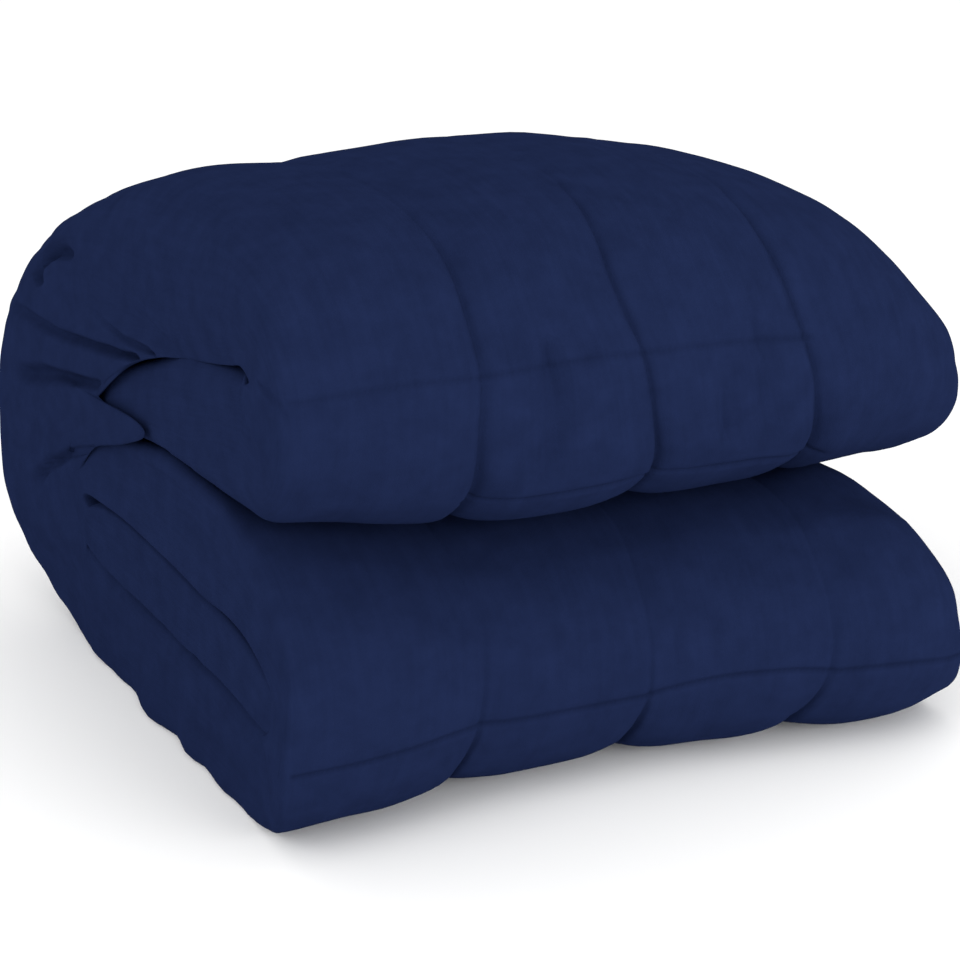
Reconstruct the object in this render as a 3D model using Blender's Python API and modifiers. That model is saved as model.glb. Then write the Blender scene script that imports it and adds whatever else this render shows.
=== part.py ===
"""A weighted blanket, folded: one quilted, filled sheet laid back and forth in five layers.

Metres, +Z up. X runs across the four quilted channels, and Y from the open front of the fold (low) to its
rounded back (high). The origin is on the resting surface, under the middle of the blanket's box.

The blanket is a sheet bent along its fold line, which a Solidify modifier fills to its loft on both sides.
The fold line runs in the middle of the filling: tucked layer, lower layer, base, back, crown, upper layer.
"""

import math
from collections import namedtuple

import bmesh
import bpy
from mathutils import Vector

# ---- driving sizes -------------------------------------------------------------------------------------
CHANNELS = 4

# One row for each place along the fold line, from the tucked end to the flap's tip. y and z are in the
# middle of the filling, loft is its thickness there, and seam is the share of it left on a quilting line.
FoldPoint = namedtuple("FoldPoint", "place y z loft seam")
FOLD_LINE = (
    FoldPoint("tucked tip", 0.014, 0.084, 0.011, 0.90),
    FoldPoint("tucked front", 0.052, 0.0885, 0.024, 0.85),
    FoldPoint("tucked middle", 0.110, 0.097, 0.041, 0.80),
    FoldPoint("tucked back", 0.190, 0.102, 0.050, 0.80),
    FoldPoint("inner turn, low side", 0.270, 0.1045, 0.044, 0.80),
    FoldPoint("inner turn, low", 0.297, 0.1140, 0.026, 0.80),
    FoldPoint("inner turn", 0.306, 0.1320, 0.021, 0.80),
    FoldPoint("inner turn, high", 0.297, 0.1500, 0.026, 0.80),
    FoldPoint("inner turn, high side", 0.270, 0.1600, 0.046, 0.80),
    FoldPoint("lower layer back", 0.205, 0.1655, 0.064, 0.80),
    FoldPoint("lower layer middle", 0.125, 0.1665, 0.076, 0.80),
    FoldPoint("lower layer front", 0.050, 0.1545, 0.094, 0.80),
    FoldPoint("lower brow", -0.012, 0.124, 0.076, 0.76),
    FoldPoint("lower nose", -0.032, 0.085, 0.046, 0.72),
    FoldPoint("lower chin", -0.020, 0.051, 0.054, 0.62),
    FoldPoint("base edge", 0.012, 0.037, 0.074, 0.60),
    FoldPoint("base front", 0.060, 0.033, 0.077, 0.62),
    FoldPoint("base middle", 0.160, 0.033, 0.077, 0.80),
    FoldPoint("base back", 0.270, 0.037, 0.086, 0.85),
    FoldPoint("heel", 0.342, 0.057, 0.116, 0.88),
    FoldPoint("back low", 0.387, 0.098, 0.130, 0.90),
    FoldPoint("back middle", 0.403, 0.147, 0.132, 0.90),
    FoldPoint("back high", 0.397, 0.197, 0.128, 0.90),
    FoldPoint("shoulder", 0.362, 0.242, 0.122, 0.90),
    FoldPoint("crown back", 0.299, 0.289, 0.121, 0.90),
    FoldPoint("crown middle", 0.200, 0.326, 0.116, 0.90),
    FoldPoint("crown front", 0.110, 0.3405, 0.095, 0.88),
    FoldPoint("upper front", 0.050, 0.3385, 0.088, 0.84),
    FoldPoint("upper edge", 0.013, 0.3310, 0.075, 0.80),
    FoldPoint("upper brow", -0.011, 0.3165, 0.062, 0.78),
    FoldPoint("upper nose", -0.023, 0.289, 0.056, 0.76),
    FoldPoint("upper chin", -0.013, 0.2625, 0.064, 0.74),
    FoldPoint("under edge", 0.013, 0.2480, 0.076, 0.74),
    FoldPoint("under front", 0.050, 0.2475, 0.082, 0.76),
    FoldPoint("under middle", 0.110, 0.2480, 0.077, 0.78),
    FoldPoint("flap", 0.170, 0.2385, 0.056, 0.80),
    FoldPoint("flap back", 0.232, 0.2215, 0.033, 0.85),
    FoldPoint("flap tip", 0.276, 0.2095, 0.012, 0.90),
)
# Heights in the fold line where the upper layers lie on the lower ones, and of the crown.
BED = 0.206
CROWN = 0.388

# How the soft blanket settles across its width, one row for each quilting line and end. x is the row's
# place at the front, lean moves the upper layers' share of it and spread the back's. bed is the top of the
# lower layers, under and crown are the upper layers' underside and top, and the outs are how far each half
# comes forward.
Lie = namedtuple("Lie", "place share x lean spread bed under crown lower_out upper_out")
LIES = (
    Lie("left end", 0.000, -0.270, 0.002, -0.010, 0.203, 0.205, 0.376, 0.004, 0.000),
    Lie("first channel", 0.125, -0.201, 0.002, -0.008, 0.196, 0.199, 0.390, 0.008, 0.010),
    Lie("first seam", 0.250, -0.136, 0.000, -0.004, 0.184, 0.187, 0.397, 0.006, 0.018),
    Lie("middle seam", 0.500, -0.015, 0.000, 0.004, 0.177, 0.181, 0.400, 0.022, 0.022),
    Lie("last seam", 0.750, 0.110, 0.004, 0.012, 0.170, 0.174, 0.383, 0.056, 0.018),
    Lie("last channel", 0.875, 0.176, 0.014, 0.012, 0.160, 0.168, 0.352, 0.074, 0.010),
    Lie("right end", 1.000, 0.236, 0.040, 0.008, 0.112, 0.160, 0.290, 0.060, -0.004),
)

# The (from, to) stretches over which one way of settling gives way to the next. Along Y: a half's coming
# forward dies away, the gap between the halves closes into the back, and the back's spread sets in. Up Z:
# the upper layers' lean sets in, and the lower half's squeeze gives way to the whole blanket's.
FORWARD_FADES = (0.06, 0.38)
GAP_CLOSES = (0.24, 0.38)
SPREAD_SETS_IN = (0.20, 0.44)
LEAN_SETS_IN = (0.16, 0.26)
SQUEEZE_TURNS = (0.10, 0.30)
# Where the middle of the blanket's box lies in the tables above.
CENTRE_X = 0.0037
CENTRE_Y = 0.1736

# How much thinner the filling is at the two ends, and how far in from each it is full.
LEFT_END_DROP = 0.014
LEFT_END_ROUNDING = 0.020
RIGHT_END_DROP = 0.026
RIGHT_END_ROUNDING = 0.055
# The least filling left at an end, as a share of the loft.
END_LOFT_LEFT = 0.40
# The block that the base is cut flat against.
FLOOR_BLOCK_SIDE = 1.2
FLOOR_BLOCK_DEPTH = 0.1
# Linear red, green and blue of the cloth.
NAVY = (0.0130, 0.0210, 0.0700, 1.0)
CLOTH_ROUGHNESS = 0.9
# How squarely the filling stands up between two quilting lines: 2 is an ellipse.
CHANNEL_SQUARENESS = 2.6
END_SQUARENESS = 2.2
# How the smooth line through FOLD_LINE is paced: 1 by the rows' distances, 0 the same for every row.
FOLD_PACE = 0.75

# ---- mesh density --------------------------------------------------------------------------------------
LONGEST_STEP = 0.030
WIDEST_BEND = math.radians(19)
CHANNEL_STEPS = (0.0, 0.10, 0.32, 0.68, 0.90)
FINE_STEPS = 24
# The extra step in each end's rounding, as a share of it.
LEFT_END_STEP = 0.35
RIGHT_END_STEP = 0.30


def smooth_step(low, high, value):
    """0 below low, 1 above high, and an even S between them."""
    t = min(1.0, max(0.0, (value - low) / (high - low)))
    return t * t * (3 - 2 * t)


def mixed(a, b, share):
    return a + (b - a) * share


def eased(points, at):
    """The height at place at of a smooth line through (place, height) points."""
    last = len(points) - 1
    i = 0
    while i < last - 1 and points[i + 1][0] < at:
        i += 1
    slopes = []
    for k in (i, i + 1):
        a, b = points[max(0, k - 1)], points[min(last, k + 1)]
        slopes.append((b[1] - a[1]) / (b[0] - a[0]))
    run = points[i + 1][0] - points[i][0]
    t = (at - points[i][0]) / run
    start = points[i][1] * (2 * t**3 - 3 * t**2 + 1) + slopes[0] * run * (t**3 - 2 * t**2 + t)
    return start + points[i + 1][1] * (3 * t**2 - 2 * t**3) + slopes[1] * run * (t**3 - t**2)


def lie_at(share):
    """A Lie row for any share of the width."""
    columns = Lie._fields[2:]
    values = [eased([(row.share, getattr(row, name)) for row in LIES], share) for name in columns]
    return Lie("", share, *values)


def fold_curve():
    """Close points (y, z, loft, seam) on a smooth curve through FOLD_LINE."""
    knots = [Vector((row.y, row.z, row.loft, row.seam)) for row in FOLD_LINE]
    places = [0.0]
    for a, b in zip(knots, knots[1:]):
        places.append(places[-1] + (b.xy - a.xy).length ** FOLD_PACE)
    lines = [[(place, knot[k]) for place, knot in zip(places, knots)] for k in range(4)]
    curve = []
    for a, b in zip(places, places[1:]):
        for step in range(FINE_STEPS):
            at = mixed(a, b, step / FINE_STEPS)
            curve.append(Vector([eased(line, at) for line in lines]))
    curve.append(knots[-1])
    return curve


def fold_stations():
    """Stations (y, z, loft, seam) along the fold line, closer together where it bends."""
    curve = fold_curve()
    headings = [math.atan2(b.y - a.y, b.x - a.x) for a, b in zip(curve, curve[1:])]
    cost = [0.0]
    for i, (a, b) in enumerate(zip(curve, curve[1:])):
        bend = 0.0
        if i > 0:
            bend = abs((headings[i] - headings[i - 1] + math.pi) % (2 * math.pi) - math.pi)
        cost.append(cost[-1] + (b.xy - a.xy).length / LONGEST_STEP + bend / WIDEST_BEND)
    count = math.ceil(cost[-1])
    stations = []
    at = 0
    for row in range(count + 1):
        wanted = cost[-1] * row / count
        while at < len(cost) - 2 and cost[at + 1] < wanted:
            at += 1
        share = (wanted - cost[at]) / (cost[at + 1] - cost[at])
        stations.append(curve[at].lerp(curve[at + 1], share))
    return stations


def cross_positions():
    """Places across the blanket, from 0 at its left end to 1 at its right: seams, channels and ends."""
    places = [(c + s) / CHANNELS for c in range(CHANNELS) for s in CHANNEL_STEPS]
    width = LIES[-1].x - LIES[0].x
    ends = [LEFT_END_STEP * LEFT_END_ROUNDING / width, 1 - RIGHT_END_STEP * RIGHT_END_ROUNDING / width]
    return sorted(places + ends + [1.0])


def bulge(inset, squareness):
    """The height of a filled edge, 1 at inset 0 and 0 at inset 1."""
    return max(0.0, 1 - inset**squareness) ** (1 / squareness)


def channel_loft(share, seam):
    """How full the filling is at this share of the width: 1 mid-channel, seam on a quilting line."""
    if share * CHANNELS < 0.5 or share * CHANNELS > CHANNELS - 0.5:
        return 1.0  # end_drop shapes the outer halves of the end channels
    aside = abs(2 * ((share * CHANNELS) % 1.0) - 1)
    return mixed(seam, 1.0, bulge(aside, CHANNEL_SQUARENESS))


def end_drop(share):
    """How much thinner the filling is here than it would be far from the two ends."""
    width = LIES[-1].x - LIES[0].x
    left = max(0.0, 1 - share * width / LEFT_END_ROUNDING)
    right = max(0.0, 1 - (1 - share) * width / RIGHT_END_ROUNDING)
    left_drop = LEFT_END_DROP * (1 - bulge(left, END_SQUARENESS))
    right_drop = RIGHT_END_DROP * (1 - bulge(right, END_SQUARENESS))
    return left_drop + right_drop


def settled(share, y, z):
    """Where a point of the even section lies at this share of the width, and its layer's squeeze."""
    lie = lie_at(share)
    front = 1 - smooth_step(*FORWARD_FADES, y)
    closed = smooth_step(*GAP_CLOSES, y)
    middle = (lie.bed + lie.under) / 2
    bed = mixed(lie.bed, middle, closed)
    under = mixed(lie.under, middle, closed)
    if z < BED:
        squeeze = bed / BED
        z *= squeeze
        y -= lie.lower_out * front
    else:
        squeeze = (lie.crown - under) / (CROWN - BED)
        z = under + (z - BED) * squeeze
        y -= lie.upper_out * front
    back_squeeze = mixed(lie.bed / BED, lie.crown / CROWN, smooth_step(*SQUEEZE_TURNS, z))
    squeeze = mixed(squeeze, back_squeeze, closed)
    x = lie.x + lie.spread * smooth_step(*SPREAD_SETS_IN, y) + lie.lean * smooth_step(*LEAN_SETS_IN, z)
    return Vector((x - CENTRE_X, y - CENTRE_Y, z)), squeeze


def make_blanket(collection):
    stations = fold_stations()
    shares = cross_positions()
    full = max(row.loft for row in FOLD_LINE)
    mesh = bpy.data.meshes.new("blanket")
    sheet = bmesh.new()
    bmesh.ops.create_grid(sheet, x_segments=len(shares) - 1, y_segments=len(stations) - 1, size=0.5)
    sheet.verts.ensure_lookup_table()
    weights = []
    for index, vert in enumerate(sheet.verts):
        share = shares[index % len(shares)]
        y, z, loft, seam = stations[index // len(shares)]
        vert.co, squeeze = settled(share, y, z)
        loft *= squeeze
        filled = max(loft - end_drop(share), loft * END_LOFT_LEFT)
        weights.append(channel_loft(share, seam) * filled / full)
    sheet.to_mesh(mesh)
    sheet.free()
    blanket = bpy.data.objects.new("blanket", mesh)
    collection.objects.link(blanket)
    group = blanket.vertex_groups.new(name="loft")
    for index, weight in enumerate(weights):
        group.add([index], weight, "REPLACE")
    filling = blanket.modifiers.new("filling", "SOLIDIFY")
    filling.thickness = full
    filling.offset = 0.0
    filling.vertex_group = group.name
    return blanket


def rest_on_floor(blanket, cutters):
    """Cuts the lowest few millimetres of the base flat, where its weight presses it on the floor."""
    bpy.ops.mesh.primitive_cube_add(size=1, location=(0, 0, -FLOOR_BLOCK_DEPTH / 2))
    block = bpy.context.object
    block.name = "floor block"
    block.scale = (FLOOR_BLOCK_SIDE, FLOOR_BLOCK_SIDE, FLOOR_BLOCK_DEPTH)
    block.hide_render = True
    block.display_type = "WIRE"
    cutters.objects.link(block)
    for other in list(block.users_collection):
        if other is not cutters:
            other.objects.unlink(block)
    cut = blanket.modifiers.new("resting face", "BOOLEAN")
    cut.operation = "DIFFERENCE"
    cut.solver = "EXACT"
    cut.object = block


def navy_microfibre():
    """Dark blue brushed cloth, matt."""
    material = bpy.data.materials.new("navy microfibre")
    material.use_nodes = True
    shader = material.node_tree.nodes["Principled BSDF"]
    shader.inputs["Base Color"].default_value = NAVY
    shader.inputs["Roughness"].default_value = CLOTH_ROUGHNESS
    shader.inputs["Metallic"].default_value = 0.0
    return material


def main():
    for obj in list(bpy.data.objects):
        bpy.data.objects.remove(obj)
    collection = bpy.data.collections.new("weighted blanket")
    cutters = bpy.data.collections.new("cutters")
    bpy.context.scene.collection.children.link(collection)
    bpy.context.scene.collection.children.link(cutters)
    blanket = make_blanket(collection)
    rest_on_floor(blanket, cutters)
    blanket.data.materials.append(navy_microfibre())
    blanket.data.shade_smooth()


if __name__ == "__main__":
    main()
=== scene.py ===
"""The looks of a folded weighted blanket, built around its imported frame.

Metres, +Z up, in the frame's own axes: X runs across the quilted channels, and Y from the open front of the
fold (low) to its rounded back (high). The file is laid out as an add-on and is run as a script.
"""

import math
from collections import namedtuple

import bmesh
import bpy
from bpy.props import FloatProperty, FloatVectorProperty, PointerProperty
from mathutils import Matrix, Vector, noise


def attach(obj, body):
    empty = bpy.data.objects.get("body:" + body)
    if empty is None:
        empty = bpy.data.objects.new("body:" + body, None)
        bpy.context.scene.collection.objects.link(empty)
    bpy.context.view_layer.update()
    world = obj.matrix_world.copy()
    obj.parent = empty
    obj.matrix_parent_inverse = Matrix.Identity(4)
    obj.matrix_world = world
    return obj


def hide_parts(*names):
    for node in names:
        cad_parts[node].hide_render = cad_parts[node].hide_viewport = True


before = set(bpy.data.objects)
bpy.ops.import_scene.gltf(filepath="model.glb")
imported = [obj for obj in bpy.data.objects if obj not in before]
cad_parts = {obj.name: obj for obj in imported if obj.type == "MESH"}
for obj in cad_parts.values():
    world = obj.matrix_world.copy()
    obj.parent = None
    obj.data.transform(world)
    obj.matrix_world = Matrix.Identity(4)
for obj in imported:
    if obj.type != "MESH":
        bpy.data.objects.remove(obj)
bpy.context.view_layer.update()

bl_info = {
    "name": "Folded weighted blanket",
    "version": (1, 0, 0),
    "blender": (4, 5, 0),
    "location": "View3D > Sidebar > Blanket",
    "description": "Makes a quilted weighted blanket, folded, and a plain stage for it",
    "category": "Object",
}

# ---- the fold --------------------------------
# One row for each place along the fold line, from the tucked end to the flap's tip. y and z are in the
# middle of the filling, loft is its thickness there, and seam is the share of it left on a quilting line.
FoldPoint = namedtuple("FoldPoint", "place y z loft seam")
FOLD_LINE = [FoldPoint(*row) for row in (
    ("tucked tip", 0.0185, 0.097, 0.036, 0.9),
    ("tucked front", 0.052, 0.1055, 0.047, 0.85),
    ("tucked middle", 0.11, 0.106, 0.05, 0.82),
    ("tucked back", 0.19, 0.108, 0.053, 0.82),
    ("inner turn, low side", 0.27, 0.109, 0.05, 0.82),
    ("inner turn, low", 0.297, 0.114, 0.03, 0.82),
    ("inner turn", 0.306, 0.132, 0.021, 0.82),
    ("inner turn, high", 0.297, 0.15, 0.031, 0.82),
    ("inner turn, high side", 0.27, 0.162, 0.048, 0.82),
    ("lower layer back", 0.205, 0.1685, 0.06, 0.82),
    ("lower layer middle", 0.125, 0.1695, 0.073, 0.84),
    ("lower layer front", 0.05, 0.1565, 0.092, 0.95),
    ("lower brow", -0.012, 0.124, 0.077, 0.95),
    ("lower nose", -0.032, 0.085, 0.048, 0.88),
    ("lower chin", -0.018, 0.051, 0.055, 0.68),
    ("base edge", 0.012, 0.037, 0.074, 0.62),
    ("base front", 0.06, 0.033, 0.077, 0.66),
    ("base middle", 0.16, 0.033, 0.077, 0.84),
    ("base back", 0.27, 0.037, 0.086, 0.88),
    ("heel", 0.342, 0.057, 0.116, 0.92),
    ("back low", 0.385, 0.098, 0.13, 0.94),
    ("back middle", 0.406, 0.147, 0.132, 0.94),
    ("back high", 0.4, 0.197, 0.128, 0.95),
    ("shoulder", 0.365, 0.243, 0.122, 0.955),
    ("crown back", 0.299, 0.289, 0.121, 0.96),
    ("crown middle", 0.2, 0.326, 0.116, 0.955),
    ("crown front", 0.11, 0.3405, 0.097, 0.95),
    ("upper front", 0.05, 0.3385, 0.09, 0.95),
    ("upper edge", 0.013, 0.331, 0.077, 0.93),
    ("upper brow", -0.011, 0.3165, 0.064, 0.91),
    ("upper nose", -0.023, 0.289, 0.058, 0.88),
    ("upper chin", -0.013, 0.2625, 0.062, 0.8),
    ("under edge", 0.013, 0.248, 0.073, 0.78),
    ("under front", 0.05, 0.2475, 0.079, 0.8),
    ("under middle", 0.11, 0.248, 0.076, 0.82),
    ("flap", 0.17, 0.238, 0.058, 0.84),
    ("flap back", 0.232, 0.2215, 0.046, 0.87),
    ("flap tip", 0.268, 0.208, 0.03, 0.9),
)]
# Heights in the fold line where the upper layers lie on the lower ones, and of the crown.
BED = 0.206
CROWN = 0.388

# How the soft blanket settles across its width. x is the row's place at the front, lean moves the upper
# layers' share of it and spread the back's. bed is the top of the lower layers, under and crown are the
# upper layers' underside and top, and the outs are how far each half comes forward.
Lie = namedtuple("Lie", "place share x lean spread bed under crown lower_out upper_out")
LIES = [Lie(*row) for row in (
    ("left end", 0.0, -0.27, 0.002, -0.017, 0.207, 0.211, 0.383, 0.001, 0.0),
    ("first channel", 0.125, -0.201, 0.002, -0.01, 0.196, 0.2, 0.3935, 0.008, 0.01),
    ("first seam", 0.25, -0.136, 0.0, -0.004, 0.184, 0.188, 0.3955, 0.006, 0.018),
    ("middle seam", 0.5, -0.015, 0.0, 0.004, 0.177, 0.181, 0.401, 0.022, 0.022),
    ("last seam", 0.75, 0.11, 0.004, 0.012, 0.171, 0.175, 0.381, 0.056, 0.018),
    ("last channel", 0.875, 0.174, 0.014, 0.012, 0.167, 0.172, 0.35, 0.074, 0.01),
    ("right end", 1.0, 0.228, 0.045, 0.008, 0.121, 0.166, 0.275, 0.062, -0.006),
)]
# The (from, to) stretches over which one way of settling gives way to the next. Along Y: a half's coming
# forward dies away, the gap between the halves closes into the back, and the back's spread sets in. Up Z:
# the upper layers' lean sets in, and the lower half's squeeze gives way to the whole blanket's.
FORWARD_FADES = (0.06, 0.38)
GAP_CLOSES = (0.24, 0.38)
SPREAD_SETS_IN = (0.20, 0.44)
LEAN_SETS_IN = (0.16, 0.26)
SQUEEZE_TURNS = (0.10, 0.30)
# Where the middle of the blanket's box lies in the tables above.
CENTRE_X = 0.0037
CENTRE_Y = 0.1736
# The width of the folded strip, its channels, and the shares of the width of its outer quilting lines.
WIDTH = 0.506
CHANNELS = 4
FIRST_SEAM = 1 / CHANNELS
LAST_SEAM = 1 - FIRST_SEAM

# Where each quilting line wanders to, as the share of the width it is moved by, for lengths along the fold.
Wander = namedtuple("Wander", "length first middle last")
WANDERS = [Wander(*row) for row in (
    (0.4, 0.0, 0.0, 0.0),
    (0.585, 0.003, 0.02, 0.022),
    (0.64, 0.008, 0.003, 0.006),
    (0.69, -0.008, -0.004, -0.002),
    (0.73, -0.026, -0.012, -0.024),
    (0.8, -0.01, -0.006, -0.01),
    (1.15, 0.0, 0.0, 0.0),
    (1.35, -0.01, -0.02, -0.04),
    (1.55, -0.018, -0.032, -0.062),
    (1.65, -0.022, -0.046, -0.072),
    (1.69, -0.017, -0.054, -0.072),
    (1.715, -0.021, -0.064, -0.064),
    (1.739, -0.016, -0.042, -0.044),
    (1.756, -0.019, -0.028, -0.022),
    (1.79, -0.008, 0.008, 0.012),
    (1.9, 0.0, 0.0, 0.0),
    (2.08, 0.0, 0.0, 0.0),
)]

# How far forward the tucked end of the blanket is pushed at the left end, and how far down, and the share of
# the width and the length along the fold over which that fades.
TIP_REACH = 0.041
TIP_DROP = 0.005
TIP_FADE_SHARE = 0.04
TIP_FADE_LENGTH = 0.06
# How far the lower half's front corner stands out at the left end, where along the fold, and over how much.
CORNER_REACH = 0.007
CORNER_LENGTH = 0.700
CORNER_FADE_SHARE = 0.09
CORNER_FADE_LENGTH = 0.045

# How far the inner side stands in from half a loft, where a layer is pressed on by the next one, and the
# shares of the width where that ends.
Inward = namedtuple("Inward", "length far")
INWARDS = [Inward(*row) for row in (
    (0.0, 0.0),
    (0.46, 0.0),
    (0.54, -0.01),
    (0.59, -0.024),
    (0.63, -0.026),
    (0.67, -0.012),
    (0.71, 0.0),
    (0.78, 0.002),
    (0.84, 0.006),
    (1.0, 0.005),
    (1.08, 0.002),
    (1.16, 0.01),
    (1.212, 0.018),
    (1.27, 0.03),
    (1.33, 0.028),
    (1.41, 0.01),
    (1.46, 0.003),
    (1.52, 0.0),
    (1.596, -0.004),
    (1.656, -0.009),
    (1.7, -0.011),
    (1.735, 0.004),
    (1.757, 0.022),
    (1.785, 0.027),
    (1.812, 0.02),
    (1.849, 0.014),
    (1.909, 0.005),
    (1.97, 0.002),
    (2.08, 0.0),
)]
INWARD_FADES = (0.70, 0.95)

# Where the inner side's cloth is drawn to at the left end, which closes the hollows behind the flap and the
# inner turn, as places in the finished piece; tuck is how far in from GATHER_X the edge is turned under.
# GATHER_FADES are the shares of the width where that ends.
Gather = namedtuple("Gather", "length y z pull tuck")
GATHERS = [Gather(*row) for row in (
    (1.05, 0.12, 0.098, 0.0, 0.0),
    (1.08, 0.111, 0.103, 0.7, 0.0),
    (1.105, 0.124, 0.113, 1.0, 0.0),
    (1.127, 0.135, 0.121, 1.0, 0.0),
    (1.147, 0.14, 0.131, 1.0, 0.0),
    (1.166, 0.135, 0.144, 1.0, 0.0),
    (1.184, 0.123, 0.158, 1.0, 0.0),
    (1.2, 0.105, 0.173, 1.0, 0.0),
    (1.212, 0.086, 0.186, 1.0, 0.0),
    (1.22, 0.045, 0.198, 1.0, 0.0),
    (1.227, 0.008, 0.212, 1.0, 0.0),
    (1.233, -0.014, 0.221, 1.0, 0.0),
    (1.239, -0.015, 0.227, 1.0, 0.0),
    (1.245, 0.001, 0.229, 1.0, 0.0),
    (1.252, 0.034, 0.227, 1.0, 0.0),
    (1.259, 0.062, 0.223, 1.0, 0.0),
    (1.267, 0.078, 0.224, 1.0, 0.0),
    (1.28, 0.072, 0.233, 1.0, 0.0),
    (1.3, 0.052, 0.246, 1.0, 0.0),
    (1.325, 0.03, 0.257, 1.0, 0.0),
    (1.35, 0.01, 0.267, 1.0, 0.0),
    (1.38, -0.004, 0.273, 1.0, 0.002),
    (1.415, -0.024, 0.2795, 1.0, 0.005),
    (1.45, -0.038, 0.2835, 1.0, 0.008),
    (1.487, -0.053, 0.2855, 1.0, 0.014),
    (1.525, -0.067, 0.2885, 1.0, 0.014),
    (1.565, -0.081, 0.2915, 1.0, 0.014),
    (1.6, -0.096, 0.2945, 1.0, 0.014),
    (1.635, -0.118, 0.299, 0.95, 0.014),
    (1.67, -0.145, 0.305, 0.7, 0.014),
    (1.695, -0.168, 0.3115, 0.35, 0.008),
    (1.712, -0.186, 0.315, 0.0, 0.0),
    (1.727, -0.193, 0.314, 0.7, 0.0),
    (1.74, -0.185, 0.307, 1.0, 0.0),
    (1.757, -0.181, 0.298, 1.0, 0.0),
    (1.774, -0.182, 0.29, 1.0, 0.0),
    (1.79, -0.186, 0.284, 0.0, 0.0),
)]
GATHER_FADES = (0.003, 0.015)
GATHER_X = -0.279

# How the filling rounds off at the left and right ends: reach is how far in, as a share of the loft, rim is
# the share of the loft that is left at the very end, and drop is how much of the rounding the outer side
# does alone: 0 for both sides alike, 1 for the outer side, and -1 for the inner side.
End = namedtuple("End", "length left_reach left_rim left_drop right_reach right_rim right_drop")
ENDS = [End(*row) for row in (
    (0.0, 0.18, 0.8, 0.0, 0.5, 0.06, 0.0),
    (0.25, 0.18, 0.82, 0.0, 0.5, 0.06, 0.0),
    (0.36, 0.18, 0.8, 0.0, 0.5, 0.06, 0.0),
    (0.55, 0.16, 0.8, 0.0, 0.6, 0.1, 0.2),
    (0.63, 0.14, 0.66, -0.3, 0.7, 0.1, 0.2),
    (0.67, 0.08, 0.1, -0.8, 0.6, 0.2, 0.2),
    (0.71, 0.06, 0.06, -0.8, 0.44, 0.5, -0.6),
    (0.76, 0.14, 0.28, -0.4, 0.38, 0.62, -0.8),
    (0.83, 0.14, 0.56, 0.0, 0.4, 0.5, -0.6),
    (1.05, 0.14, 0.56, 0.0, 0.5, 0.06, 0.0),
    (1.15, 0.14, 0.74, 0.0, 0.5, 0.06, 0.0),
    (1.28, 0.16, 0.74, 0.0, 0.5, 0.06, 0.2),
    (1.38, 0.22, 0.62, 0.2, 0.42, 0.15, 0.2),
    (1.46, 0.36, 0.36, 0.5, 0.38, 0.3, 0.2),
    (1.54, 0.44, 0.14, 0.8, 0.36, 0.4, 0.2),
    (1.6, 0.42, 0.1, 0.9, 0.36, 0.45, 0.2),
    (1.66, 0.28, 0.12, 0.9, 0.34, 0.62, 0.1),
    (1.7, 0.2, 0.16, 0.6, 0.26, 0.8, 0.0),
    (1.722, 0.16, 0.44, 0.2, 0.22, 0.9, 0.0),
    (1.74, 0.14, 0.9, 0.4, 0.22, 0.9, 0.0),
    (1.757, 0.12, 0.94, 0.4, 0.22, 0.9, 0.0),
    (1.785, 0.14, 0.88, 0.4, 0.18, 0.9, 0.1),
    (1.81, 0.3, 0.46, 0.6, 0.26, 0.6, 0.0),
    (1.85, 0.24, 0.46, 0.5, 0.36, 0.26, 0.0),
    (1.9, 0.16, 0.6, 0.1, 0.5, 0.06, 0.0),
    (2.08, 0.22, 0.6, 0.0, 0.5, 0.06, 0.0),
)]
# The least reach of the two ends' rounding, and the places of the columns round it, in degrees.
LEAST_LEFT_REACH = 0.003
LEAST_RIGHT_REACH = 0.006
END_ANGLES = (0, 14, 28, 43, 58, 74)
# How squarely the filling stands up at an end and between two quilting lines: 2 is an ellipse.
END_SQUARENESS = 2.4
CHANNEL_SQUARENESS = 2.5

# ---- mesh density ----------------------------
# The longest step in each stretch of the fold, up to a length along it, and the widest bend of one step.
Stretch = namedtuple("Stretch", "length step")
STRETCHES = [Stretch(*row) for row in (
    (0.45, 0.03),
    (0.6, 0.014),
    (0.76, 0.0075),
    (1.05, 0.026),
    (1.19, 0.012),
    (1.3, 0.006),
    (1.45, 0.01),
    (1.62, 0.0115),
    (1.82, 0.0085),
    (9.99, 0.026),
)]
WIDEST_BEND = math.radians(19)
# The steps between two rows of FOLD_LINE, and how the smooth line through them is paced: 1 by the rows'
# distances, 0 the same for every row.
FINE_STEPS = 24
FOLD_PACE = 0.75
# Places of the columns in a channel, from one quilting line to the next, and in the two outer channels.
CHANNEL_COLUMNS = (0.0, 0.016, 0.05, 0.11, 0.20, 0.34, 0.50, 0.66, 0.80, 0.89, 0.95, 0.984)
LEFT_CHANNEL_COLUMNS = (0.16, 0.33, 0.50, 0.66, 0.80, 0.90, 0.966)
RIGHT_CHANNEL_COLUMNS = (0.034, 0.10, 0.22, 0.40, 0.60, 0.80)
# The end faces are cut into this many strips from the inner side to the outer one.
END_STRIPS = 6
# The left end's faces between these lengths along the fold are cut finer, for the creases there.
FINE_END = (1.10, 1.50)
FINE_END_CUTS = 3
# A point with a smaller share of the width than this lies on the left end's face.
AT_END = 0.0001

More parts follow.
